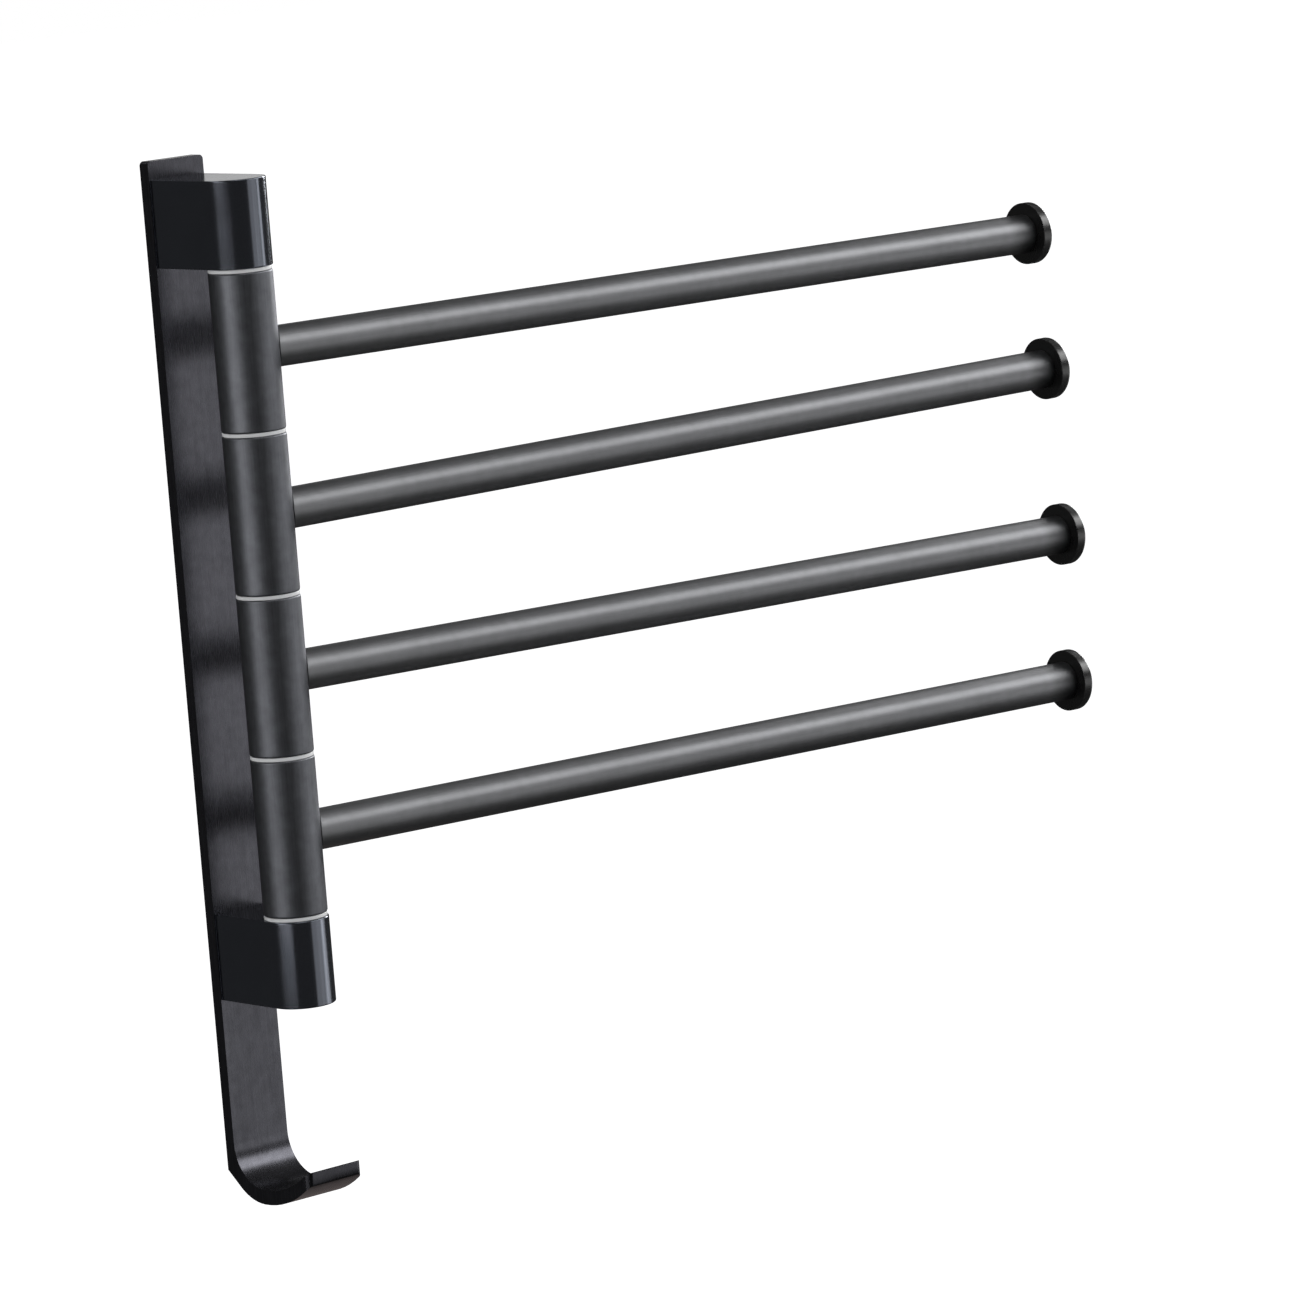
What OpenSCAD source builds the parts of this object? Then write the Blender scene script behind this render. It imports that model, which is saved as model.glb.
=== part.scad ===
// Wall rack with four swing arms on one column and a hook bent from the foot of its strip.
// Millimetres. The wall is the plane y = 0 and the rack stands off it towards -y. Z is up and
// X runs along the wall, towards the side that the arms point to at rest. The origin lies on the
// wall, midway between the two hangers, level with the middle washer of the column.

/* [Swing arms] */
// Swing of each arm away from parallel to the wall, top arm first, in degrees
arm_swing = [-3.7, -4.5, -4.9, -4.6]; // [-90:0.1:3]
// Rise of each bar along its length, top arm first, in degrees
arm_rise = [-0.3, 0.6, -0.4, -0.3]; // [-1:0.1:1]
// Column axis to the inner face of an end cap
bar_reach = 349.4; // [150:1:600]
// Outer diameter of a bar
bar_d = 14; // [12:0.5:18]
// Wall of a bar's tube
bar_wall = 1.5; // [1:0.1:2.5]
// Diameter of an end cap
cap_d = 22.4; // [19:0.2:32]
// Thickness of an end cap's rim
cap_t = 4.3; // [2.5:0.1:8]
// Rounding of an end cap's outer edge
cap_edge_r = 1; // [0.3:0.1:1.2]
// Rounding of an end cap's edge towards the bar
cap_back_r = 0.4; // [0.2:0.1:1.2]
// Length of an end cap's spigot inside the tube
cap_spigot_h = 10; // [5:1:20]
// Length of the threaded plug in a bar's root
plug_h = 16; // [10:1:25]
// Diameter of the stud between sleeve and plug
stud_d = 6; // [4:0.5:8]
// Length of the stud inside the plug
stud_engage = 12; // [6:1:15]

/* [Column] */
// Outer diameter of a sleeve
sleeve_d = 22; // [19:0.5:30]
// Height of a sleeve
sleeve_h = 53.9; // [40:0.1:80]
// Bore of a sleeve, which seats the bushes
sleeve_bore_d = 14; // [12:0.5:16]
// Rounding of a sleeve's outer edges
sleeve_edge_r = 0.6; // [0.2:0.1:1.2]
// Height of a bush
bush_h = 12; // [6:1:18]
// Thickness of a washer
washer_t = 1.3; // [0.8:0.1:3]
// How far a washer's rim stays inside the sleeve's outline
washer_inset = 0.15; // [0:0.05:1]
// Diameter of the shaft
shaft_d = 8; // [6:0.5:10]
// Column axis to the front of the strip
standoff = 30; // [26:0.5:50]

/* [Brackets] */
// Height of a bracket
bracket_h = 30; // [26:1:50]
// How far a bracket's nose stands out past the sleeves
bracket_proud = 0.25; // [0:0.05:1]
// Chamfer of a bracket's outer edges
bracket_edge = 0.4; // [0.1:0.1:1]
// Wall round the hollow in a bracket's back
bracket_wall = 2.2; // [1.5:0.1:3.5]
// Depth of the hollow in a bracket's back
hollow_depth = 12; // [6:0.5:16]
// Depth of the shaft's socket in a bracket
socket_depth = 22; // [12:1:25]
// Diameter of a bracket's screw bosses
boss_d = 8; // [7:0.5:9]
// Distance between the two screws of a bracket
screw_spacing = 18; // [16:0.5:19]

/* [Strip and hook] */
// How far the strip stands out past a bracket's sides
strip_margin = 0.65; // [0:0.1:5]
// Thickness of the strip
strip_t = 4.5; // [4:0.1:8]
// Height of the strip above the upper bracket
strip_above = 6.3; // [3:0.1:30]
// Rounding of the strip's upper corners
strip_corner_r = 1.6; // [0.5:0.1:6]
// Straight length of the strip below the lower bracket
hook_drop = 50.3; // [20:0.1:90]
// Thickness of the hook at its lowest point
hook_t = 5.1; // [2.5:0.1:5.5]
// Inner radius of the bend at the hook's foot
bend_r = 14.6; // [10:0.2:20]
// Length of the strip's square heel behind the bend
heel_drop = 9.7; // [8:0.1:12]
// Radius of the hook's curl, the same inside and outside
curl_r = 38.5; // [25:0.5:80]
// Angle of the hook's curl, in degrees
curl_angle = 40.5; // [15:0.5:60]
// Rounding of the corners of the hook's tip, seen from above
tip_corner_r = 2.6; // [1:0.1:8]
// Rounding of the upper edge of the hook's upright end face
tip_edge_r = 0.6; // [0.3:0.1:1]
// Rounding of the lower edge of the hook's upright end face
tip_foot_r = 2; // [0.5:0.1:2.5]

/* [Wall mount] */
// Distance between the two wall screw holes
hole_spacing = 160; // [110:1:175]
// Diameter of the wall screw holes
hole_d = 4.5; // [3.5:0.1:6]
// Width of a hanger
hanger_w = 16; // [12:1:17]
// Height of a hanger's flat
hanger_h = 24; // [16:1:26]
// Thickness of a hanger's flat
hanger_t = 1.5; // [1:0.1:2]
// Thickness of a hanger's shelf and lip
lip_t = 1.2; // [0.8:0.1:1.6]
// Height of a hanger's lip
lip_h = 4.8; // [3:0.1:6]
// Thickness of the strip's web that drops behind the lip
web_t = 1.5; // [1:0.1:1.6]

/* [Hidden] */
$fn = 64;

// Fits and overruns
running_gap = 0.05;
axial_play = 0.05;
washer_bore_gap = 0.1;
seat_gap = 0.02;
shaft_end_gap = 0.3;
plug_root_gap = 0.5;
stud_bore_gap = 0.4;
hang_gap = 0.15;
hanger_side_gap = 0.3;
lift_gap = 0.8;
meet_gap = 0.02;
overrun = 1;

// Countersunk bracket screws
screw_d = 4;
screw_head_d = 7.6;
screw_head_h = 1.9;
screw_sink = 0.1;
screw_hole_gap = 0.15;
screw_engage = 9.5;
screw_tip_gap = 0.5;
screw_hex_d = 2.9;
screw_hex_h = 1.5;

// Set screws that clamp the strip on the hangers
lock_screw_d = 2.5;
lock_screw_inset = 1.9;
lock_screw_sink = 0.6;
lock_screw_edge = 0.3;
lock_hex_d = 1.5;
lock_hex_h = 1.2;

// Edge chamfer of the turned steel pieces
steel_edge = 0.5;

// Column
arms = len(arm_swing);
axis_y = strip_t + standoff;
pitch = sleeve_h + washer_t + 2 * axial_play;
column_half = arms * pitch / 2;
bush_bore_d = shaft_d + 2 * running_gap;

// Brackets
bracket_w = sleeve_d + 2 * bracket_proud;
bracket_foot = column_half + washer_t / 2 + axial_play;
bracket_z = bracket_foot + bracket_h / 2;
shaft_h = 2 * (bracket_foot + socket_depth - shaft_end_gap);

// Strip and hook
strip_w = bracket_w + 2 * strip_margin;
strip_top = bracket_foot + bracket_h + strip_above;
bend_y = -strip_t - bend_r;
bend_z = -bracket_foot - bracket_h - hook_drop;
bend_out_r = bend_r + hook_t;
curl_z = bend_z - bend_r + curl_r;
tip_reach = curl_r * sin(curl_angle);
tip_edge_x = tip_edge_r - tip_reach;
tip_edge_at = [tip_edge_x, -sqrt(pow(curl_r + tip_edge_r, 2) - pow(tip_edge_x, 2))];
tip_edge_end = tip_edge_at * (curl_r - overrun) / (curl_r + tip_edge_r);
tip_foot_x = tip_foot_r - tip_reach;
tip_foot_at = [tip_foot_x, -sqrt(pow(curl_r - tip_foot_r, 2) - pow(tip_foot_x, 2))];
tip_foot_end = tip_foot_at * (curl_r + overrun) / (curl_r - tip_foot_r);
heel_corner = [strip_t + bend_r, -heel_drop];
heel_r = bend_out_r - meet_gap;
heel_angle = atan2(heel_corner.y, heel_corner.x) - acos(heel_r / norm(heel_corner));

// Wall mount
pocket_w = hanger_w + 2 * hanger_side_gap;
pocket_depth = web_t + lip_t + 2 * hang_gap;
web_foot = hanger_h / 2 + lip_t;
pocket_foot = -hanger_h / 2 - lip_h - lift_gap;
lip_y = -web_t - hang_gap;
lock_screw_h = (strip_w - hanger_w) / 2 - lock_screw_sink;

// Height of the middle of arm k, counted from 0 at the top
function arm_z(k) = ((arms - 1) / 2 - k) * pitch;

// Places one arm's pieces on the column with the arm's swing
module on_arm(k) {
    translate([0, -axis_y, arm_z(k)])
        rotate([0, 0, arm_swing[k]])
            children();
}

// Turns pieces drawn along +Z into the direction of arm k's bar, which rises a little
module along_bar(k) {
    rotate([0, 90 - arm_rise[k], 0])
        children();
}

module tube(outer_d, inner_d, h) {
    difference() {
        cylinder(d = outer_d, h = h);
        translate([0, 0, -overrun])
            cylinder(d = inner_d, h = h + 2 * overrun);
    }
}

// Round bar with both ends chamfered, standing on z = 0
module chamfered_rod(d, h, edge) {
    rotate_extrude()
        polygon([[0, 0], [d / 2 - edge, 0], [d / 2, edge], [d / 2, h - edge], [d / 2 - edge, h], [0, h]]);
}

// Rectangle of the given half sizes round the origin with its corners cut off
module chamfered_rectangle(half_w, half_h, edge) {
    in_w = half_w - edge;
    in_h = half_h - edge;
    polygon([[in_w, half_h], [-in_w, half_h], [-half_w, in_h], [-half_w, -in_h],
        [-in_w, -half_h], [in_w, -half_h], [half_w, -in_h], [half_w, in_h]]);
}

// Half section of a disc or ring from inner_r to outer_r, with its outer edges rounded by foot_r and top_r
module rounded_half_section(inner_r, outer_r, h, foot_r, top_r) {
    difference() {
        translate([inner_r, 0])
            square([outer_r - inner_r, h]);
        translate([outer_r - top_r, h - top_r])
            corner_waste(top_r);
        translate([outer_r - foot_r, foot_r])
            mirror([0, 1])
                corner_waste(foot_r);
    }
}

// What a rounding of radius r takes off the corner at [r, r], meeting both sides at a slight angle
module corner_waste(r) {
    difference() {
        square(r + overrun);
        circle(r = r + meet_gap);
    }
}

// Side view of the strip and hook, drawn as [y, z]
module strip_side() {
    translate([-strip_t, bend_z])
        square([strip_t, strip_top - bend_z]);
    translate([bend_y, bend_z])
        bend_side();
    translate([bend_y, curl_z])
        difference() {
            intersection() {
                translate([0, -hook_t])
                    circle(r = curl_r);
                translate([-tip_reach, -curl_r - hook_t - overrun])
                    square([tip_reach, curl_r + overrun]);
            }
            circle(r = curl_r);
            tip_edge_cut(tip_edge_r, tip_edge_at, tip_edge_end);
            translate([0, -hook_t])
                tip_edge_cut(tip_foot_r, tip_foot_at, tip_foot_end);
        }
}

// What a rounding of radius r round a centre takes off the hook's end, between its end face and a point
// beyond its curved side
module tip_edge_cut(r, centre, side_point) {
    beyond = side_point.y + sign(side_point.y - centre.y) * overrun;
    difference() {
        polygon([centre, [-tip_reach - overrun, centre.y], [-tip_reach - overrun, beyond], side_point]);
        translate(centre)
            circle(r = r + meet_gap);
    }
}

// Side view of the bend with the square heel, round the bend's centre
module bend_side() {
    difference() {
        union() {
            intersection() {
                circle(r = bend_out_r);
                translate([0, -bend_out_r])
                    square([heel_corner.x, bend_out_r]);
            }
            polygon([[0, 0], heel_r * [cos(heel_angle), sin(heel_angle)], heel_corner, [heel_corner.x, 0]]);
        }
        circle(r = bend_r);
    }
}

// Space behind the strip for one hanger, with the undercut above it, round the wall screw's height
module hanger_pocket() {
    translate([-pocket_w / 2, -pocket_depth, pocket_foot])
        cube([pocket_w, pocket_depth + overrun, web_foot - pocket_foot]);
    translate([-pocket_w / 2, -pocket_depth, 0])
        cube([pocket_w, pocket_depth - web_t, web_foot + lip_h + lift_gap]);
}

// Heights of the four bracket screws
screw_heights = [for (side = [-1, 1], end = [-1, 1]) side * bracket_z + end * screw_spacing / 2];

// One countersunk screw pointing to -y from just under the strip's back, larger all round by gap
module bracket_screw(gap, length) {
    translate([0, -screw_sink, 0])
        rotate([90, 0, 0]) {
            cylinder(d = screw_d + 2 * gap, h = length);
            cylinder(d1 = screw_head_d + 2 * gap, d2 = screw_d + 2 * gap, h = screw_head_h);
        }
}

module wall_plate() {
    color("#3c3e43")
        difference() {
            translate([-strip_w / 2, 0, 0])
                rotate([90, 0, 90])
                    linear_extrude(strip_w)
                        strip_side();
            for (side = [0, 1])
                mirror([side, 0, 0])
                    strip_corner_cuts();
            for (side = [-1, 1])
                translate([0, 0, side * hole_spacing / 2]) {
                    hanger_pocket();
                    translate([hanger_w / 2, -lock_screw_inset, 0])
                        rotate([0, 90, 0])
                            cylinder(d = lock_screw_d + 2 * seat_gap, h = strip_w / 2);
                }
            for (level = screw_heights)
                translate([0, 0, level]) {
                    bracket_screw(screw_hole_gap, strip_t + overrun);
                    translate([0, overrun, 0])
                        rotate([90, 0, 0])
                            cylinder(d = screw_head_d + 2 * screw_hole_gap, h = overrun + screw_sink);
                }
        }
}

// Roundings of the strip's corner at the top and of the hook's tip, on the +x side
module strip_corner_cuts() {
    translate([strip_w / 2 - strip_corner_r, overrun, strip_top - strip_corner_r])
        rotate([90, 0, 0])
            linear_extrude(strip_t + 2 * overrun)
                corner_waste(strip_corner_r);
    translate([strip_w / 2 - tip_corner_r, bend_y - tip_reach + tip_corner_r, curl_z - curl_r - hook_t])
        mirror([0, 1, 0])
            linear_extrude(curl_r)
                corner_waste(tip_corner_r);
}

// Steel hanger with its lip, round the wall screw's height on side -1 (lower) or 1 (upper)
module hanger(side) {
    color("silver")
        translate([0, 0, side * hole_spacing / 2])
            difference() {
                translate([-hanger_w / 2, 0, 0])
                    rotate([90, 0, 90])
                        linear_extrude(hanger_w)
                            polygon([[0, -hanger_h / 2], [0, web_foot], [lip_y, web_foot],
                                [lip_y, web_foot + lip_h], [lip_y - lip_t, web_foot + lip_h],
                                [lip_y - lip_t, hanger_h / 2], [-hanger_t, hanger_h / 2],
                                [-hanger_t, -hanger_h / 2]]);
                translate([0, overrun, 0])
                    rotate([90, 0, 0])
                        cylinder(d = hole_d, h = hanger_t + 2 * overrun);
            }
}

module hanger_lock_screws() {
    color("dimgray")
        for (side = [-1, 1])
            translate([hanger_w / 2 + seat_gap, -lock_screw_inset, side * hole_spacing / 2])
                rotate([0, 90, 0])
                    difference() {
                        chamfered_rod(lock_screw_d, lock_screw_h, lock_screw_edge);
                        translate([0, 0, lock_screw_h - lock_hex_h])
                            cylinder(d = lock_hex_d, h = lock_hex_h + overrun, $fn = 6);
                    }
}

// Bracket on side -1 (lower) or 1 (upper), its shaft socket facing the column
module bracket(side) {
    inner_h = bracket_h - 2 * bracket_wall;
    inner_w = bracket_w - 2 * bracket_wall;
    half_h = bracket_h / 2;
    color("#1b1c1f")
        translate([0, 0, side * bracket_z])
            difference() {
                union() {
                    translate([0, -axis_y, -half_h])
                        chamfered_rod(bracket_w, bracket_h, bracket_edge);
                    translate([0, -strip_t, 0])
                        rotate([90, 0, 0])
                            linear_extrude(standoff)
                                chamfered_rectangle(bracket_w / 2, half_h, bracket_edge);
                }
                difference() {
                    translate([-inner_w / 2, -strip_t - hollow_depth, -inner_h / 2])
                        cube([inner_w, hollow_depth + overrun, inner_h]);
                    for (end = [-1, 1])
                        translate([0, -strip_t, end * screw_spacing / 2])
                            rotate([90, 0, 0])
                                cylinder(d = boss_d, h = hollow_depth + overrun);
                }
                for (end = [-1, 1])
                    translate([0, -strip_t + overrun, end * screw_spacing / 2])
                        rotate([90, 0, 0])
                            cylinder(d = screw_d + 2 * seat_gap,
                                h = overrun + screw_engage + screw_tip_gap);
                translate([0, -axis_y, -side * half_h])
                    rotate([side == 1 ? 0 : 180, 0, 0])
                        translate([0, 0, -overrun])
                            cylinder(d = shaft_d + 2 * seat_gap, h = socket_depth + overrun);
            }
}

module bracket_screws() {
    color("silver")
        for (level = screw_heights)
            translate([0, 0, level])
                difference() {
                    bracket_screw(0, strip_t + screw_engage - screw_sink);
                    translate([0, overrun, 0])
                        rotate([90, 0, 0])
                            cylinder(d = screw_hex_d, h = overrun + screw_sink + screw_hex_h, $fn = 6);
                }
}

module shaft() {
    color("silver")
        translate([0, -axis_y, -shaft_h / 2])
            chamfered_rod(shaft_d, shaft_h, steel_edge);
}

// Washer i, counted from 0 at the top
module washer(i) {
    color("white")
        translate([0, -axis_y, column_half - i * pitch - washer_t / 2])
            tube(sleeve_d - 2 * washer_inset, shaft_d + 2 * washer_bore_gap, washer_t);
}

module sleeve(k) {
    color("#47484b")
        on_arm(k)
            difference() {
                translate([0, 0, -sleeve_h / 2])
                    rotate_extrude()
                        rounded_half_section(sleeve_bore_d / 2, sleeve_d / 2, sleeve_h,
                            sleeve_edge_r, sleeve_edge_r);
                along_bar(k)
                    cylinder(d = stud_d + 2 * seat_gap, h = sleeve_d);
            }
}

// Bush at the end -1 (lower) or 1 (upper) of sleeve k
module bush(k, end) {
    color("whitesmoke")
        on_arm(k)
            translate([0, 0, end * (sleeve_h - bush_h) / 2 - bush_h / 2])
                tube(sleeve_bore_d - 2 * seat_gap, bush_bore_d, bush_h);
}

module bar(k) {
    color("#3f4042")
        on_arm(k)
            difference() {
                along_bar(k)
                    tube(bar_d, bar_d - 2 * bar_wall, bar_reach);
                cylinder(d = sleeve_d, h = sleeve_h, center = true);
            }
}

module bar_plug(k) {
    color("silver")
        on_arm(k)
            along_bar(k)
                translate([0, 0, sleeve_d / 2 + plug_root_gap])
                    tube(bar_d - 2 * bar_wall - 2 * seat_gap, stud_d + 2 * seat_gap, plug_h);
}

module bar_stud(k) {
    root = sleeve_bore_d / 2 + stud_bore_gap;
    color("dimgray")
        on_arm(k)
            along_bar(k)
                translate([0, 0, root])
                    chamfered_rod(stud_d, sleeve_d / 2 + plug_root_gap + stud_engage - root, steel_edge);
}

module end_cap(k) {
    color("#161719")
        on_arm(k)
            along_bar(k)
                translate([0, 0, bar_reach]) {
                    rotate_extrude()
                        rounded_half_section(0, cap_d / 2, cap_t, cap_back_r, cap_edge_r);
                    translate([0, 0, -cap_spigot_h])
                        cylinder(d = bar_d - 2 * bar_wall - 2 * seat_gap, h = cap_spigot_h + cap_t / 2);
                }
}

wall_plate();
hanger(1);  // upper_hanger
hanger(-1);  // lower_hanger
hanger_lock_screws();
bracket(1);  // upper_bracket
bracket(-1);  // lower_bracket
bracket_screws();
shaft();
washer(0);  // washer_1
washer(1);  // washer_2
washer(2);  // washer_3
washer(3);  // washer_4
washer(4);  // washer_5
sleeve(0);  // sleeve_1
bush(0, 1);  // upper_bush_1
bush(0, -1);  // lower_bush_1
bar(0);  // bar_1
bar_plug(0);  // bar_plug_1
bar_stud(0);  // bar_stud_1
end_cap(0);  // end_cap_1
sleeve(1);  // sleeve_2
bush(1, 1);  // upper_bush_2
bush(1, -1);  // lower_bush_2
bar(1);  // bar_2
bar_plug(1);  // bar_plug_2
bar_stud(1);  // bar_stud_2
end_cap(1);  // end_cap_2
sleeve(2);  // sleeve_3
bush(2, 1);  // upper_bush_3
bush(2, -1);  // lower_bush_3
bar(2);  // bar_3
bar_plug(2);  // bar_plug_3
bar_stud(2);  // bar_stud_3
end_cap(2);  // end_cap_3
sleeve(3);  // sleeve_4
bush(3, 1);  // upper_bush_4
bush(3, -1);  // lower_bush_4
bar(3);  // bar_4
bar_plug(3);  // bar_plug_4
bar_stud(3);  // bar_stud_4
end_cap(3);  // end_cap_4
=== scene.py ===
import math

import bmesh
import bpy
from mathutils import Matrix, Vector

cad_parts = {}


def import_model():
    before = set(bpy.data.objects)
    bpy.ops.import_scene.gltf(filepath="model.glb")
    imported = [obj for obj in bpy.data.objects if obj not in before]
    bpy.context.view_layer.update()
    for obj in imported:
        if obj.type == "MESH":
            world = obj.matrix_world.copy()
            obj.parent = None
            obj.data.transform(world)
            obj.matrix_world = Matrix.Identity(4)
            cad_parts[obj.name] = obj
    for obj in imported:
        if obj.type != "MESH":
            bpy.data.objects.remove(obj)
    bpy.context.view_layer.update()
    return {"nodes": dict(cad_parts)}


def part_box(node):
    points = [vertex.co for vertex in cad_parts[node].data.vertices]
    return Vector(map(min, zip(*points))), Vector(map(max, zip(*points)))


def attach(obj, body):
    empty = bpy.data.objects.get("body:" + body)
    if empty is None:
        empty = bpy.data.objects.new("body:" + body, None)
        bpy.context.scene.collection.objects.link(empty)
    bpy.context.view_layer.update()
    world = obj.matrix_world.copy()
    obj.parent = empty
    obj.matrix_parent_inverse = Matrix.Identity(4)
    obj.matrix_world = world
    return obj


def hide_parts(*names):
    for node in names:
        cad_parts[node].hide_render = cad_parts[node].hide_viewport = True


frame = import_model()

MM = 0.001
UP = Vector((0, 0, 1))
ARMS = (1, 2, 3, 4)
WASHERS = (1, 2, 3, 4, 5)
BRACKETS = ("upper_bracket", "lower_bracket")

# Camera: the photograph's view of the rack
CAMERA_AT = Vector((-1454.3, -1866.7, 327.2)) * MM
CAMERA_AIM = Vector((100.1, -114.0, -30.9)) * MM
CAMERA_ROLL = math.radians(-4.4696)
PHOTO_PX = 1303
FOCAL_PX = 6979.15
SENSOR_MM = 36.0
VIEW_DEPTH = 100

# Fineness of round shapes
ROUND_SEGMENTS = 96
EDGE_STEPS = 4
BEVEL_STEPS = 3
BRACKET_BEVEL_STEPS = 4
BEVEL_FROM = math.radians(35)
FLAT_WITHIN = math.radians(0.3)
SAME_POINT = 1e-6

# Roundings and wall thicknesses
STRIP_EDGE = 0.35 * MM
BRACKET_EDGE = 0.45 * MM
SLEEVE_EDGE = 0.6 * MM
SLEEVE_WALL = 4.0 * MM
WASHER_EDGE = 0.25 * MM
WASHER_PLAY = 0.1 * MM
BAR_EDGE = 0.2 * MM
BAR_WALL = 1.5 * MM
COPE_GAP = 0.12 * MM
CAP_EDGE = 1.0 * MM
CAP_EDGE_TURN = 80
CAP_BACK_EDGE = 0.15 * MM
CAP_CROWN = 0.25 * MM
CROWN_RADII = (0.8, 0.6, 0.4, 0.2, 0.05)
FLANGE_SHARE = 0.8
SPIGOT_EDGE = 0.4 * MM

# How far from a long stretch's ends its extra rings of points lie
HOLD = 0.05 * MM

# Painted shade at the ends: the share of the colour that is left, and where the change lies
TIP_SHADE = 0.55
TIP_SHADE_FROM = 1.95 * MM
TIP_SHADE_FULL = 1.17 * MM
CAP_SHADE = 0.42
CAP_SHADE_FROM = 13.0 * MM
CAP_SHADE_FULL = 3.0 * MM


# ---------------------------------------------------------------- measuring the frame

def centre(node):
    low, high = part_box(node)
    return (low + high) / 2


def half_size(node):
    low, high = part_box(node)
    return [(b - a) / 2 for a, b in zip(low, high)]


def vertex_mean(node):
    total = Vector((0, 0, 0))
    vertices = frame["nodes"][node].data.vertices
    for v in vertices:
        total += v.co
    return total / len(vertices)


def along_and_out(node, origin, direction):
    """Each vertex of a node as its place along an axis and its distance from it."""
    places = []
    for v in frame["nodes"][node].data.vertices:
        offset = v.co - origin
        along = offset.dot(direction)
        places.append((along, (offset - along * direction).length))
    return places


# ---------------------------------------------------------------- mesh building

def new_object(name, data):
    piece = bpy.data.objects.new(name, data)
    bpy.context.scene.collection.objects.link(piece)
    return piece


def smooth(mesh):
    for face in mesh.polygons:
        face.use_smooth = True


def finished(name, mesh):
    """A smooth-shaded object from a closed mesh under construction."""
    bmesh.ops.recalc_face_normals(mesh, faces=mesh.faces)
    data = bpy.data.meshes.new(name)
    mesh.to_mesh(data)
    mesh.free()
    smooth(data)
    return new_object(name, data)


def loops_of(mesh, rings):
    return [[mesh.verts.new(p) for p in points] for points in rings]


def join_loops(mesh, first, second):
    """Faces between two loops with the same number of vertices."""
    count = len(first)
    for i in range(count):
        j = (i + 1) % count
        mesh.faces.new((first[i], first[j], second[j], second[i]))


def solid(name, rings):
    """A skin through rings of points, closed at its first and its last ring."""
    mesh = bmesh.new()
    loops = loops_of(mesh, rings)
    for first, second in zip(loops[:-1], loops[1:]):
        join_loops(mesh, first, second)
    mesh.faces.new(list(reversed(loops[0])))
    mesh.faces.new(loops[-1])
    return finished(name, mesh)


def hoop(name, rings):
    """A ring-shaped skin: the last ring of points joins the first."""
    mesh = bmesh.new()
    loops = loops_of(mesh, rings)
    for first, second in zip(loops, loops[1:] + loops[:1]):
        join_loops(mesh, first, second)
    return finished(name, mesh)


def ring(radius, height):
    """A circle of points round +Z at a height."""
    step = 2 * math.pi / ROUND_SEGMENTS
    return [Vector((radius * math.cos(i * step), radius * math.sin(i * step), height))
            for i in range(ROUND_SEGMENTS)]


def corner(radius, height, size, from_angle, to_angle):
    """A rounding's (radius, height) points round its centre, between two angles in degrees."""
    points = []
    for i in range(EDGE_STEPS + 1):
        angle = math.radians(from_angle + (to_angle - from_angle) * i / EDGE_STEPS)
        points.append((radius + size * math.cos(angle), height + size * math.sin(angle)))
    return points


def held(points):
    """The points, and two more close to the ends of each long stretch, to keep it straight."""
    more = [points[0]]
    for first, second in zip(points[:-1], points[1:]):
        a, b = Vector(first), Vector(second)
        if (b - a).length > 4 * HOLD:
            step = (b - a).normalized() * HOLD
            more += [tuple(a + step), tuple(b - step)]
        more.append(second)
    return more


def turned(outline):
    """Rings of points round +Z for a turned outline of (radius, height) points."""
    return [ring(r, h) for r, h in held(outline)]


def tube_outline(inner, outer, half, edge):
    """Outline of a ring or tube whose two outer edges are rounded."""
    return [(inner, -half),
            *corner(outer - edge, -half + edge, edge, -90, 0),
            *corner(outer - edge, half - edge, edge, 0, 90),
            (inner, half)]


def rounded(piece, width, steps=BEVEL_STEPS):
    """Rounds a piece's edges and keeps its flats flat."""
    bevel = piece.modifiers.new("edges", "BEVEL")
    bevel.width = width
    bevel.segments = steps
    bevel.limit_method = "ANGLE"
    bevel.angle_limit = BEVEL_FROM
    bevel.use_clamp_overlap = True
    bevel.harden_normals = True
    return piece


def softened_node(name, node, width):
    """A node's own shape with its edges rounded."""
    mesh = bmesh.new()
    mesh.from_mesh(frame["nodes"][node].data)
    bmesh.ops.remove_doubles(mesh, verts=mesh.verts, dist=SAME_POINT)
    bmesh.ops.dissolve_limit(mesh, angle_limit=FLAT_WITHIN, verts=mesh.verts, edges=mesh.edges)
    mesh.verts.ensure_lookup_table()
    mesh.verts.index_update()
    points = [v.co.copy() for v in mesh.verts]
    faces = [[v.index for v in face.verts] for face in mesh.faces]
    mesh.free()
    data = bpy.data.meshes.new(name)
    data.from_pydata(points, [], faces)
    data.update()
    smooth(data)
    return rounded(new_object(name, data), width)


def dress(piece, body, material, node):
    """Gives a piece its material and its body, and hides the node that it stands for."""
    piece.data.materials.clear()
    piece.data.materials.append(material)
    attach(piece, body)
    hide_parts(node)


# ---------------------------------------------------------------- materials

# Noise scales per metre; lines have one across them and one along them
FINE_LINES = (2400.0, 70.0)
BROAD_LINES = (700.0, 14.0)
STEEL_LINES = (2200.0, 90.0)
DYE_CLOUD = 35.0
DYE_MOTTLE = 260.0
PORES = 1500.0
LACQUER_CLOUD = 40.0
LACQUER_PEEL = 420.0
NYLON_CLOUD = 220.0
NYLON_GRAIN = 1800.0
STEEL_CLOUD = 160.0

# Bump heights in metres
LINE_DEPTH = 0.0000012
PORE_DEPTH = 0.0000020
PEEL_DEPTH = 0.0000010
GRAIN_DEPTH = 0.0000040
SCRATCH_DEPTH = 0.0000020

# The part of a noise's range that is used, and the dye's slow change of tone
NOISE_LOW, NOISE_HIGH = 0.3, 0.7
DYE_DRIFT = 0.04

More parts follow.
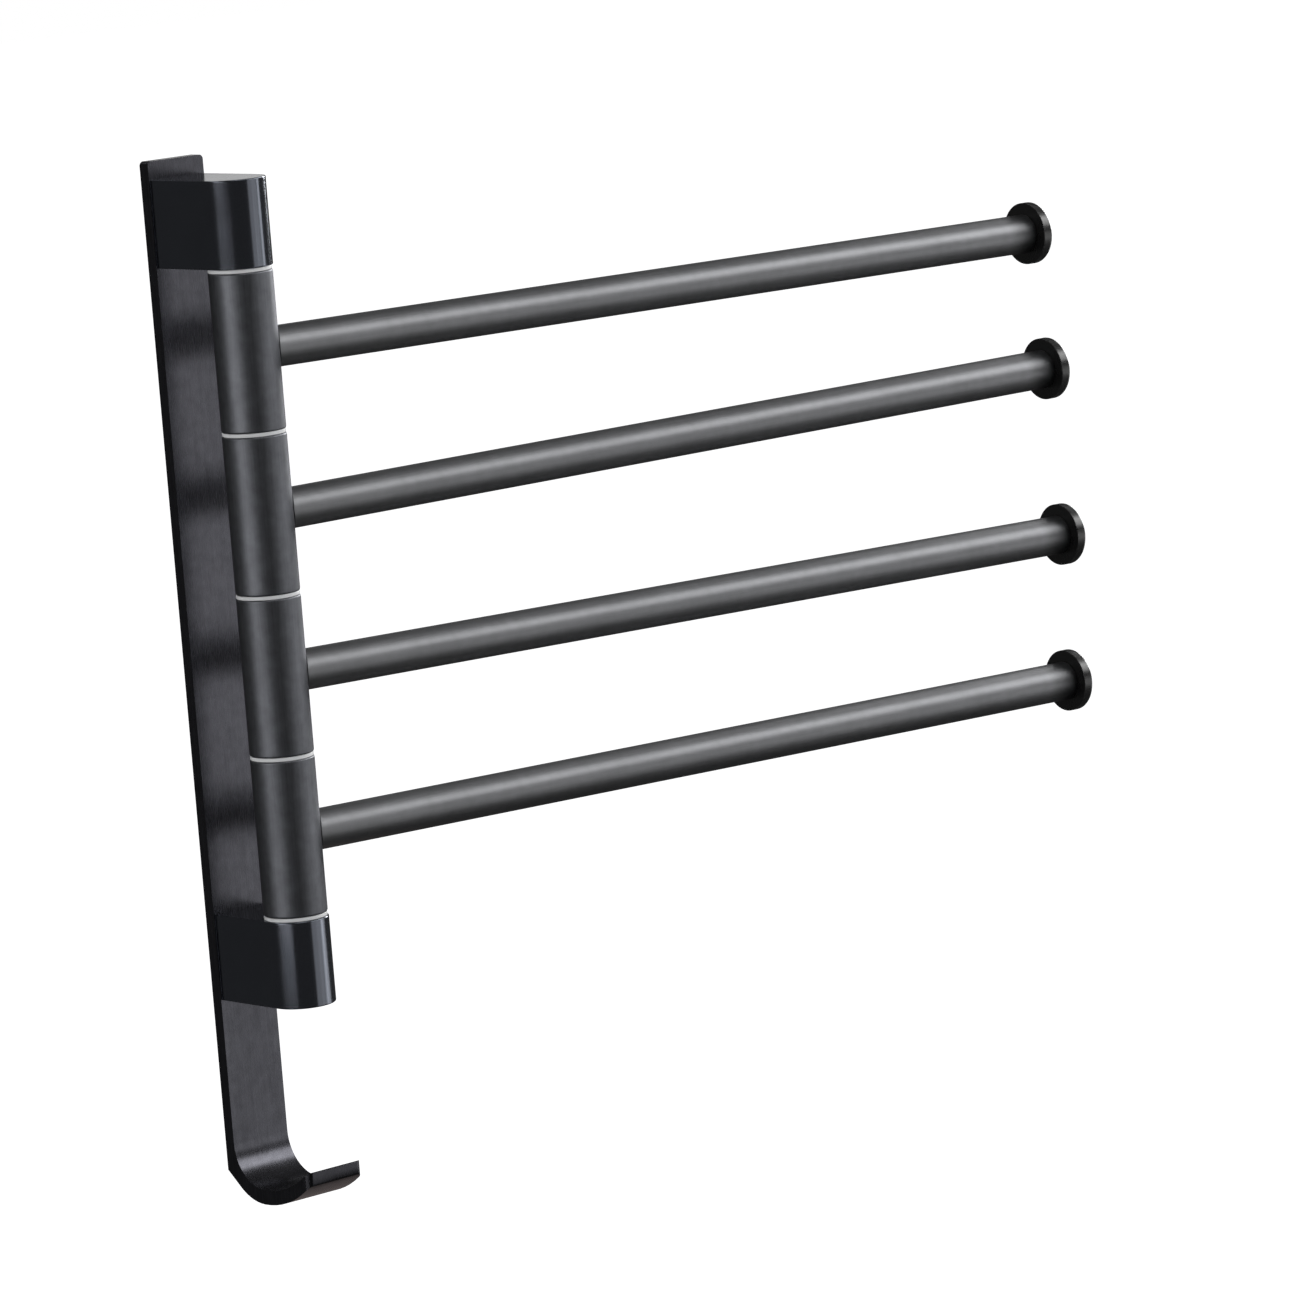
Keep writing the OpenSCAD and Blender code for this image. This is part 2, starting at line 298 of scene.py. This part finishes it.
NYLON_ROUGHNESS = (0.38, 0.52)
NYLON_GLOW = 0.15
NYLON_GLOW_REACH = (0.8 * MM, 0.8 * MM, 0.7 * MM)
NYLON_IOR = 1.53


def blank_material(name):
    material = bpy.data.materials.new(name)
    material.use_nodes = True
    return material, material.node_tree, material.node_tree.nodes["Principled BSDF"]


def evenly(scale):
    return (scale, scale, scale)


def drawn_along(axis, lines):
    """Noise scales of lines along one axis."""
    across, along = lines
    scales = [across, across, across]
    scales[axis] = along
    return scales


def noise(tree, scales, detail=3.0, roughness=0.55):
    """Noise in the piece's own space, with its own scale along each axis."""
    place = tree.nodes.new("ShaderNodeTexCoord")
    mapping = tree.nodes.new("ShaderNodeMapping")
    mapping.inputs["Scale"].default_value = scales
    node = tree.nodes.new("ShaderNodeTexNoise")
    node.inputs["Scale"].default_value = 1.0
    node.inputs["Detail"].default_value = detail
    node.inputs["Roughness"].default_value = roughness
    tree.links.new(place.outputs["Object"], mapping.inputs["Vector"])
    tree.links.new(mapping.outputs["Vector"], node.inputs["Vector"])
    return node.outputs["Fac"]


def levels(tree, value, low, high, from_low=NOISE_LOW, from_high=NOISE_HIGH):
    """A value brought from one range to another."""
    node = tree.nodes.new("ShaderNodeMapRange")
    node.inputs["From Min"].default_value = from_low
    node.inputs["From Max"].default_value = from_high
    node.inputs["To Min"].default_value = low
    node.inputs["To Max"].default_value = high
    tree.links.new(value, node.inputs["Value"])
    return node.outputs["Result"]


def two_tone(tree, value, dark, light, from_low=NOISE_LOW, from_high=NOISE_HIGH):
    """A colour between a dark and a light tone, by a value."""
    node = tree.nodes.new("ShaderNodeValToRGB")
    first, last = node.color_ramp.elements
    first.position, last.position = from_low, from_high
    first.color, last.color = (*dark, 1), (*light, 1)
    tree.links.new(value, node.inputs["Fac"])
    return node.outputs["Color"]


def bumps(tree, shader, *layers):
    """Chains bump layers, each a (value, height in metres)."""
    normal = None
    for value, height in layers:
        node = tree.nodes.new("ShaderNodeBump")
        node.inputs["Strength"].default_value = 1.0
        node.inputs["Distance"].default_value = height
        tree.links.new(value, node.inputs["Height"])
        if normal:
            tree.links.new(normal, node.inputs["Normal"])
        normal = node.outputs["Normal"]
    tree.links.new(normal, shader.inputs["Normal"])


def satin_anodised(name, tone, rough_low, rough_high, grain_axis, streak=0.10):
    """Black anodised aluminium: fine lines along one axis and a faint unevenness of the dye."""
    material, tree, shader = blank_material(name)
    drawn = noise(tree, drawn_along(grain_axis, FINE_LINES), 4.0, 0.6)
    bands = noise(tree, drawn_along(grain_axis, BROAD_LINES), 3.0, 0.6)
    cloud = noise(tree, evenly(DYE_CLOUD))
    mottle = noise(tree, evenly(DYE_MOTTLE))
    pores = noise(tree, evenly(PORES), 2.0)
    shade = levels(tree, cloud, -DYE_DRIFT, DYE_DRIFT)
    for lines, share in ((drawn, streak), (bands, 0.5 * streak), (mottle, streak)):
        step = tree.nodes.new("ShaderNodeMath")
        step.operation = "ADD"
        tree.links.new(shade, step.inputs[0])
        tree.links.new(levels(tree, lines, -share, share), step.inputs[1])
        shade = step.outputs[0]
    swing = 2 * streak
    dark = [(1 - swing) * c for c in tone]
    light = [(1 + swing) * c for c in tone]
    share = levels(tree, shade, 0.0, 1.0, -swing, swing)
    tree.links.new(two_tone(tree, share, dark, light, 0.0, 1.0), shader.inputs["Base Color"])
    tree.links.new(levels(tree, drawn, rough_low, rough_high), shader.inputs["Roughness"])
    bumps(tree, shader, (drawn, LINE_DEPTH), (pores, PORE_DEPTH))
    shader.inputs["Metallic"].default_value = 1.0
    return material


def gloss_lacquer(name, dark, light, rough_low, rough_high, ior=1.5, metallic=0.0):
    """Gloss black lacquer with the faint waviness of a sprayed coat."""
    material, tree, shader = blank_material(name)
    cloud = noise(tree, evenly(LACQUER_CLOUD))
    peel = noise(tree, evenly(LACQUER_PEEL), 2.0, 0.4)
    tree.links.new(two_tone(tree, cloud, dark, light), shader.inputs["Base Color"])
    tree.links.new(levels(tree, cloud, rough_low, rough_high), shader.inputs["Roughness"])
    bumps(tree, shader, (peel, PEEL_DEPTH))
    shader.inputs["IOR"].default_value = ior
    shader.inputs["Metallic"].default_value = metallic
    return material


def milky_plastic(name, dark, light):
    """Natural nylon, slightly translucent at its edges."""
    material, tree, shader = blank_material(name)
    cloud = noise(tree, evenly(NYLON_CLOUD))
    grain = noise(tree, evenly(NYLON_GRAIN), 2.0)
    tree.links.new(two_tone(tree, cloud, dark, light), shader.inputs["Base Color"])
    tree.links.new(levels(tree, grain, *NYLON_ROUGHNESS), shader.inputs["Roughness"])
    bumps(tree, shader, (grain, GRAIN_DEPTH))
    shader.inputs["Subsurface Weight"].default_value = NYLON_GLOW
    shader.inputs["Subsurface Radius"].default_value = NYLON_GLOW_REACH
    shader.inputs["Subsurface Scale"].default_value = 1.0
    shader.inputs["IOR"].default_value = NYLON_IOR
    return material


def brushed_steel(name, dark, light, rough_low, rough_high):
    """Steel with fine lines along +X."""
    material, tree, shader = blank_material(name)
    lines = noise(tree, drawn_along(0, STEEL_LINES), 4.0, 0.6)
    cloud = noise(tree, evenly(STEEL_CLOUD))
    tree.links.new(two_tone(tree, cloud, dark, light), shader.inputs["Base Color"])
    tree.links.new(levels(tree, lines, rough_low, rough_high), shader.inputs["Roughness"])
    bumps(tree, shader, (lines, SCRATCH_DEPTH))
    shader.inputs["Metallic"].default_value = 1.0
    return material


def painted_shade_end(material, axis, near, far, share):
    """Paints shade into a material's colour along an axis of its piece, from near on, and in full
    by far.
    """
    tree = material.node_tree
    shader = tree.nodes["Principled BSDF"]
    colour = shader.inputs["Base Color"].links[0].from_socket
    place = tree.nodes.new("ShaderNodeTexCoord")
    parts = tree.nodes.new("ShaderNodeSeparateXYZ")
    tree.links.new(place.outputs["Object"], parts.inputs[0])
    left = levels(tree, parts.outputs[axis], 1.0, share, near, far)
    scale = tree.nodes.new("ShaderNodeVectorMath")
    scale.operation = "SCALE"
    tree.links.new(colour, scale.inputs[0])
    tree.links.new(left, scale.inputs["Scale"])
    tree.links.new(scale.outputs[0], shader.inputs["Base Color"])


X_AXIS, Z_AXIS = 0, 2
STRIP_BLACK = satin_anodised("satin_black", (0.098, 0.098, 0.111), 0.25, 0.29, Z_AXIS, 0.11)
SLEEVE_BLACK = satin_anodised("satin_sleeve", (0.158, 0.163, 0.178), 0.45, 0.51, Z_AXIS)
BAR_BLACK = satin_anodised("satin_bar", (0.228, 0.231, 0.239), 0.43, 0.49, X_AXIS, 0.05)
BRACKET_BLACK = gloss_lacquer("gloss_black", (0.134, 0.144, 0.168), (0.146, 0.157, 0.183),
                              0.14, 0.17, metallic=0.94)
CAP_BLACK = gloss_lacquer("gloss_cap", (0.004, 0.004, 0.004), (0.007, 0.007, 0.007),
                          0.26, 0.31, ior=1.72)
NYLON = milky_plastic("white_plastic", (0.66, 0.67, 0.68), (0.74, 0.74, 0.74))
ACETAL = milky_plastic("bush_plastic", (0.70, 0.70, 0.68), (0.78, 0.78, 0.76))
STEEL = brushed_steel("steel", (0.50, 0.50, 0.49), (0.62, 0.62, 0.61), 0.24, 0.38)
DARK_STEEL = brushed_steel("dark_steel", (0.07, 0.07, 0.08), (0.11, 0.11, 0.12), 0.30, 0.42)


# ---------------------------------------------------------------- the rack

def wall_strip():
    """Strip and hook in one, with shade painted into the colour at the cut end of the hook."""
    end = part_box("wall_plate")[0].y
    # Painted shade: the strip's colour is darkened towards the hook's cut end
    painted_shade_end(STRIP_BLACK, "Y", end + TIP_SHADE_FROM, end + TIP_SHADE_FULL, TIP_SHADE)
    piece = softened_node("strip", "wall_plate", STRIP_EDGE)
    dress(piece, "rack", STRIP_BLACK, "wall_plate")


def bracket(node):
    """End block: flat sides, round front, all its edges softly broken."""
    low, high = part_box(node)
    radius = (high.x - low.x) / 2
    middle_x = (high.x + low.x) / 2
    round_y = low.y + radius
    outline = [(high.x, high.y), (low.x, high.y)]
    steps = ROUND_SEGMENTS // 2
    for i in range(steps + 1):
        angle = math.pi + math.pi * i / steps
        outline.append((middle_x + radius * math.cos(angle), round_y + radius * math.sin(angle)))
    rings = [[Vector((x, y, z)) for x, y in outline] for z in (low.z, high.z)]
    piece = rounded(solid(node + "_block", rings), BRACKET_EDGE, BRACKET_BEVEL_STEPS)
    dress(piece, "rack", BRACKET_BLACK, node)


def washer(k):
    """Flat ring with soft edges round the shaft."""
    node = "washer_%d" % k
    outer, _, half = half_size(node)
    inner = half_size("shaft")[0] + WASHER_PLAY
    piece = hoop(node + "_ring", turned(tube_outline(inner, outer, half, WASHER_EDGE)))
    piece.location = centre(node)
    dress(piece, "rack", NYLON, node)


# ---------------------------------------------------------------- the arms

def arm_axis(k):
    """Centre of arm k's sleeve and the direction of its bar."""
    middle = centre("sleeve_%d" % k)
    return middle, (vertex_mean("end_cap_%d" % k) - middle).normalized()


def arm_matrix(k):
    """Arm k's own frame: +X along its bar, its origin in its sleeve's centre."""
    middle, forward = arm_axis(k)
    side = UP.cross(forward).normalized()
    top = forward.cross(side)
    turn = Matrix((forward, side, top)).transposed().to_4x4()
    return Matrix.Translation(middle) @ turn


def sleeve_radius(k):
    return half_size("sleeve_%d" % k)[1]


def sleeve(k):
    """Swivel sleeve with rounded ends."""
    node = "sleeve_%d" % k
    outer = sleeve_radius(k)
    half = half_size(node)[2]
    outline = tube_outline(outer - SLEEVE_WALL, outer, half, SLEEVE_EDGE)
    piece = hoop(node + "_tube", turned(outline))
    piece.location = centre(node)
    dress(piece, "arm_%d" % k, SLEEVE_BLACK, node)


def bar_reach_and_radius(k):
    """How far arm k's tube reaches from the sleeve's centre, and its radius."""
    places = along_and_out("bar_%d" % k, *arm_axis(k))
    return max(along for along, out in places), max(out for along, out in places)


def shade_by_caps():
    """Darkens the bars' last stretch, where the caps keep the light off."""
    reach, _ = bar_reach_and_radius(ARMS[0])
    painted_shade_end(BAR_BLACK, "X", reach - CAP_SHADE_FROM, reach - CAP_SHADE_FULL, CAP_SHADE)


def bar(k):
    """Tube whose root is cut to the sleeve's curve, open at its far end round the spigot."""
    node = "bar_%d" % k
    reach, radius = bar_reach_and_radius(k)
    rise = math.asin(arm_axis(k)[1].z)
    sleeve_r = sleeve_radius(k)

    def section(r, along):
        """Ring of points round +X at one place along the bar."""
        return [Vector((along, p.x, p.y)) for p in ring(r, 0)]

    def root(r, gap):
        """Ring of points a gap away from the sleeve's surface."""
        points = []
        for p in ring(r, 0):
            out = math.sqrt((sleeve_r + gap) ** 2 - p.x ** 2)
            along = (out + p.y * math.sin(rise)) / math.cos(rise)
            points.append(Vector((along, p.x, p.y)))
        return points

    rings = [root(radius - BAR_WALL, 0),
             root(radius - BAR_EDGE, COPE_GAP / 2),
             root(radius, COPE_GAP + BAR_EDGE),
             root(radius, COPE_GAP + BAR_EDGE + HOLD),
             section(radius, reach - BAR_EDGE - HOLD),
             section(radius, reach - BAR_EDGE),
             section(radius - BAR_EDGE, reach),
             section(radius - BAR_WALL, reach)]
    piece = hoop(node + "_tube", rings)
    piece.matrix_world = arm_matrix(k)
    dress(piece, "arm_%d" % k, BAR_BLACK, node)


def end_cap(k):
    """Round cap: turned flange with a soft rim and a faint crown, and its spigot in the tube."""
    node = "end_cap_%d" % k
    places = along_and_out(node, *arm_axis(k))
    outer = max(out for along, out in places)
    face = max(along for along, out in places)
    root = min(along for along, out in places)
    back = min(along for along, out in places if out > FLANGE_SHARE * outer)
    spigot = max(out for along, out in places if along < back - MM)
    rim = face - CAP_CROWN
    outline = [(spigot - SPIGOT_EDGE, root), (spigot, root + SPIGOT_EDGE), (spigot, back)]
    outline += corner(outer - CAP_BACK_EDGE, back + CAP_BACK_EDGE, CAP_BACK_EDGE, -90, 0)
    outline += corner(outer - CAP_EDGE, rim - CAP_EDGE, CAP_EDGE, 0, CAP_EDGE_TURN)
    outline += [(outer * s, face - CAP_CROWN * s * s) for s in CROWN_RADII]
    piece = solid(node + "_disc", turned(outline))
    piece.matrix_world = arm_matrix(k) @ Matrix.Rotation(math.pi / 2, 4, "Y")
    dress(piece, "arm_%d" % k, CAP_BLACK, node)


def carried_nodes():
    """Nodes that keep their own shape, each with its material."""
    looks = {"upper_hanger": STEEL, "lower_hanger": STEEL, "hanger_lock_screws": DARK_STEEL,
             "bracket_screws": STEEL, "shaft": STEEL}
    for k in ARMS:
        looks["upper_bush_%d" % k] = ACETAL
        looks["lower_bush_%d" % k] = ACETAL
        looks["bar_plug_%d" % k] = STEEL
        looks["bar_stud_%d" % k] = DARK_STEEL
    for node, material in looks.items():
        mesh = frame["nodes"][node].data
        mesh.materials.clear()
        mesh.materials.append(material)


# ---------------------------------------------------------------- studio

WHITE = (1, 1, 1, 1)
FILL_COLOUR = (0.95, 0.97, 1.0, 1)
WORLD_FILL = 0.2
FLOOR_COLOUR = (0.8, 0.8, 0.8, 1)
FLOOR_Z = -1.25
FLOOR_SIDE = (40, 40)
FLOOR_LIFT = 0.95

# Each wall's place and the way it faces
WALL_GLOW = 0.045
WALL_FOOT_Z = FLOOR_Z + 0.02
ROOM = 3.6
ROOM_SIDE = (2 * ROOM, 2 * ROOM)
WALLS = (
    ("wall_back", (0, ROOM, 0), (0, -1, 0)),
    ("wall_front", (0, -ROOM, 0), (0, 1, 0)),
    ("wall_left", (-ROOM, 0, 0), (1, 0, 0)),
    ("wall_right", (ROOM, 0, 0), (-1, 0, 0)),
    ("wall_top", (0, 0, ROOM), (0, 0, -1)),
    ("wall_foot", (0, 0, WALL_FOOT_Z), (0, 0, 1)),
)

# Each lamp's azimuth, elevation and roll in degrees, its width and height, and its radiance
LIGHT_CENTRE = Vector((0.1, -0.035, -0.03))
LIGHT_DISTANCE = 2.2
LAMPS = (
    ("left_box", 181, 10, 1, 1.15, 0.37, 6.35),
    ("left_low_strip", 188, -8, -1, 1.97, 0.14, 5.62),
    ("right_box", 13, 15, -25, 0.61, 1.10, 13.2),
    ("high_strip", -37, 31, -6, 2.70, 0.83, 2.87),
    ("right_low_box", -21, -19, 66, 0.51, 1.45, 1.46),
    ("front_left_box", -69, -11, 4, 0.77, 2.08, 0.65),
    ("front_box", -51, -7, 21, 0.72, 0.80, 0.87),
    ("front_right_box", -33, -5, 32, 0.36, 0.67, 1.95),
    ("high_right_box", -17, 31, -12, 1.36, 0.49, 2.54),
    ("top_box", -100, 64, 0, 1.4, 0.9, 2.0),
    ("rear_box", 124, 57, 0, 1.2, 0.8, 2.0),
)

# Two small lamps near the rack: what each stands by, how far off, its size and its radiance
HOOK_TIP = Vector((0, -0.042, -0.200))
HOOK_LAMP_OFF = 0.15 * Vector((0.61, 0.50, -0.61))
HOOK_LAMP_SIDE = (0.12, 0.10)
HOOK_LAMP_RADIANCE = 0.16
HOOK_LAMP_COLOUR = (1.0, 0.80, 0.76)
BRACKET_TOP = Vector((0, -0.025, 0.141))
BACK_LAMP_OFF = 0.6 * Vector((0.61, 0.78, 0.14))
BACK_LAMP_SIDE = (0.12, 0.08)
BACK_LAMP_RADIANCE = 0.9


def camera():
    data = bpy.data.cameras.new("camera")
    data.sensor_fit = "HORIZONTAL"
    data.sensor_width = SENSOR_MM
    data.lens = FOCAL_PX / PHOTO_PX * SENSOR_MM
    data.clip_end = VIEW_DEPTH
    rig = new_object("camera", data)
    ahead = (CAMERA_AIM - CAMERA_AT).normalized()
    level = ahead.cross(UP).normalized()
    above = level.cross(ahead)
    right = math.cos(CAMERA_ROLL) * level + math.sin(CAMERA_ROLL) * above
    top = -math.sin(CAMERA_ROLL) * level + math.cos(CAMERA_ROLL) * above
    turn = Matrix((right, top, -ahead)).transposed().to_4x4()
    rig.matrix_world = Matrix.Translation(CAMERA_AT) @ turn
    bpy.context.scene.camera = rig


def seen_rays(tree):
    """1 for camera, glossy and transmission rays."""
    path = tree.nodes.new("ShaderNodeLightPath")
    first = tree.nodes.new("ShaderNodeMath")
    first.operation = "MAXIMUM"
    second = tree.nodes.new("ShaderNodeMath")
    second.operation = "MAXIMUM"
    tree.links.new(path.outputs["Is Camera Ray"], first.inputs[0])
    tree.links.new(path.outputs["Is Glossy Ray"], first.inputs[1])
    tree.links.new(first.outputs[0], second.inputs[0])
    tree.links.new(path.outputs["Is Transmission Ray"], second.inputs[1])
    return second.outputs[0]


def world():
    """A low fill of light, seen as white."""
    sky = bpy.data.worlds.new("studio")
    bpy.context.scene.world = sky
    sky.use_nodes = True
    tree = sky.node_tree
    out = tree.nodes["World Output"]
    fill = tree.nodes["Background"]
    fill.inputs["Color"].default_value = FILL_COLOUR
    fill.inputs["Strength"].default_value = WORLD_FILL
    white = tree.nodes.new("ShaderNodeBackground")
    white.inputs["Color"].default_value = WHITE
    white.inputs["Strength"].default_value = 1.0
    mix = tree.nodes.new("ShaderNodeMixShader")
    tree.links.new(seen_rays(tree), mix.inputs["Fac"])
    tree.links.new(fill.outputs["Background"], mix.inputs[1])
    tree.links.new(white.outputs["Background"], mix.inputs[2])
    tree.links.new(mix.outputs["Shader"], out.inputs["Surface"])


def panel(name, at, size, facing):
    """Flat rectangle at a place, square to the way it faces."""
    mesh = bmesh.new()
    w, h = size[0] / 2, size[1] / 2
    corners = ((-w, -h, 0), (w, -h, 0), (w, h, 0), (-w, h, 0))
    mesh.faces.new([mesh.verts.new(p) for p in corners])
    data = bpy.data.meshes.new(name)
    mesh.to_mesh(data)
    mesh.free()
    piece = new_object(name, data)
    turn = Vector(facing).to_track_quat("Z", "Y").to_matrix().to_4x4()
    piece.matrix_world = Matrix.Translation(Vector(at)) @ turn
    return piece


def bare_material(name):
    """A material with nothing but its output, its tree and that output."""
    material = bpy.data.materials.new(name)
    material.use_nodes = True
    tree = material.node_tree
    tree.nodes.clear()
    return material, tree, tree.nodes.new("ShaderNodeOutputMaterial")


def floor():
    """Pale floor: it reads white where nothing shades it, and keeps the rack's shadow."""
    piece = panel("floor", (0, 0, FLOOR_Z), FLOOR_SIDE, UP)
    material, tree, out = bare_material("floor_pale")
    matte = tree.nodes.new("ShaderNodeBsdfDiffuse")
    matte.inputs["Color"].default_value = FLOOR_COLOUR
    glow = tree.nodes.new("ShaderNodeEmission")
    glow.inputs["Color"].default_value = WHITE
    lift = tree.nodes.new("ShaderNodeMath")
    lift.operation = "MULTIPLY"
    lift.inputs[1].default_value = FLOOR_LIFT
    add = tree.nodes.new("ShaderNodeAddShader")
    tree.links.new(seen_rays(tree), lift.inputs[0])
    tree.links.new(lift.outputs[0], glow.inputs["Strength"])
    tree.links.new(matte.outputs[0], add.inputs[0])
    tree.links.new(glow.outputs[0], add.inputs[1])
    tree.links.new(add.outputs[0], out.inputs["Surface"])
    piece.data.materials.append(material)


def dim_walls():
    """Dim studio walls round the rack, which only reflections see."""
    material, tree, out = bare_material("dim_wall")
    glow = tree.nodes.new("ShaderNodeEmission")
    glow.inputs["Strength"].default_value = WALL_GLOW
    tree.links.new(glow.outputs[0], out.inputs["Surface"])
    for name, at, facing in WALLS:
        piece = panel(name, at, ROOM_SIDE, facing)
        piece.data.materials.append(material)
        piece.visible_camera = False
        piece.visible_diffuse = False
        piece.visible_shadow = False
        piece.visible_transmission = False


def softbox(name, at, away, roll, size, radiance, colour=(1, 1, 1)):
    """Rectangular lamp at a place, which faces back along a direction, rolled by some degrees."""
    lamp = bpy.data.lights.new(name, "AREA")
    lamp.shape = "RECTANGLE"
    lamp.size, lamp.size_y = size
    lamp.energy = radiance * math.pi * size[0] * size[1]
    lamp.color = colour
    rig = new_object(name, lamp)
    turn = away.to_track_quat("Z", "Y").to_matrix().to_4x4()
    spin = Matrix.Rotation(math.radians(roll), 4, "Z")
    rig.matrix_world = Matrix.Translation(at) @ turn @ spin
    rig.visible_camera = False


def direction(azimuth, elevation):
    """Unit vector from an azimuth, from +X towards +Y, and an elevation, in degrees."""
    a, e = math.radians(azimuth), math.radians(elevation)
    return Vector((math.cos(e) * math.cos(a), math.cos(e) * math.sin(a), math.sin(e)))


def lamps():
    for name, azimuth, elevation, roll, width, height, radiance in LAMPS:
        away = direction(azimuth, elevation)
        at = LIGHT_CENTRE + away * LIGHT_DISTANCE
        softbox(name, at, away, roll, (width, height), radiance)
    softbox("hook_lamp", HOOK_TIP + HOOK_LAMP_OFF, HOOK_LAMP_OFF, 0, HOOK_LAMP_SIDE,
            HOOK_LAMP_RADIANCE, HOOK_LAMP_COLOUR)
    softbox("back_lamp", BRACKET_TOP + BACK_LAMP_OFF, BACK_LAMP_OFF, 0, BACK_LAMP_SIDE,
            BACK_LAMP_RADIANCE)


def studio():
    world()
    floor()
    dim_walls()
    lamps()
    camera()
    bpy.context.scene.view_settings.view_transform = "Standard"


# ---------------------------------------------------------------- making it

wall_strip()
for name in BRACKETS:
    bracket(name)
for k in WASHERS:
    washer(k)
shade_by_caps()
for k in ARMS:
    sleeve(k)
    bar(k)
    end_cap(k)
carried_nodes()
studio()
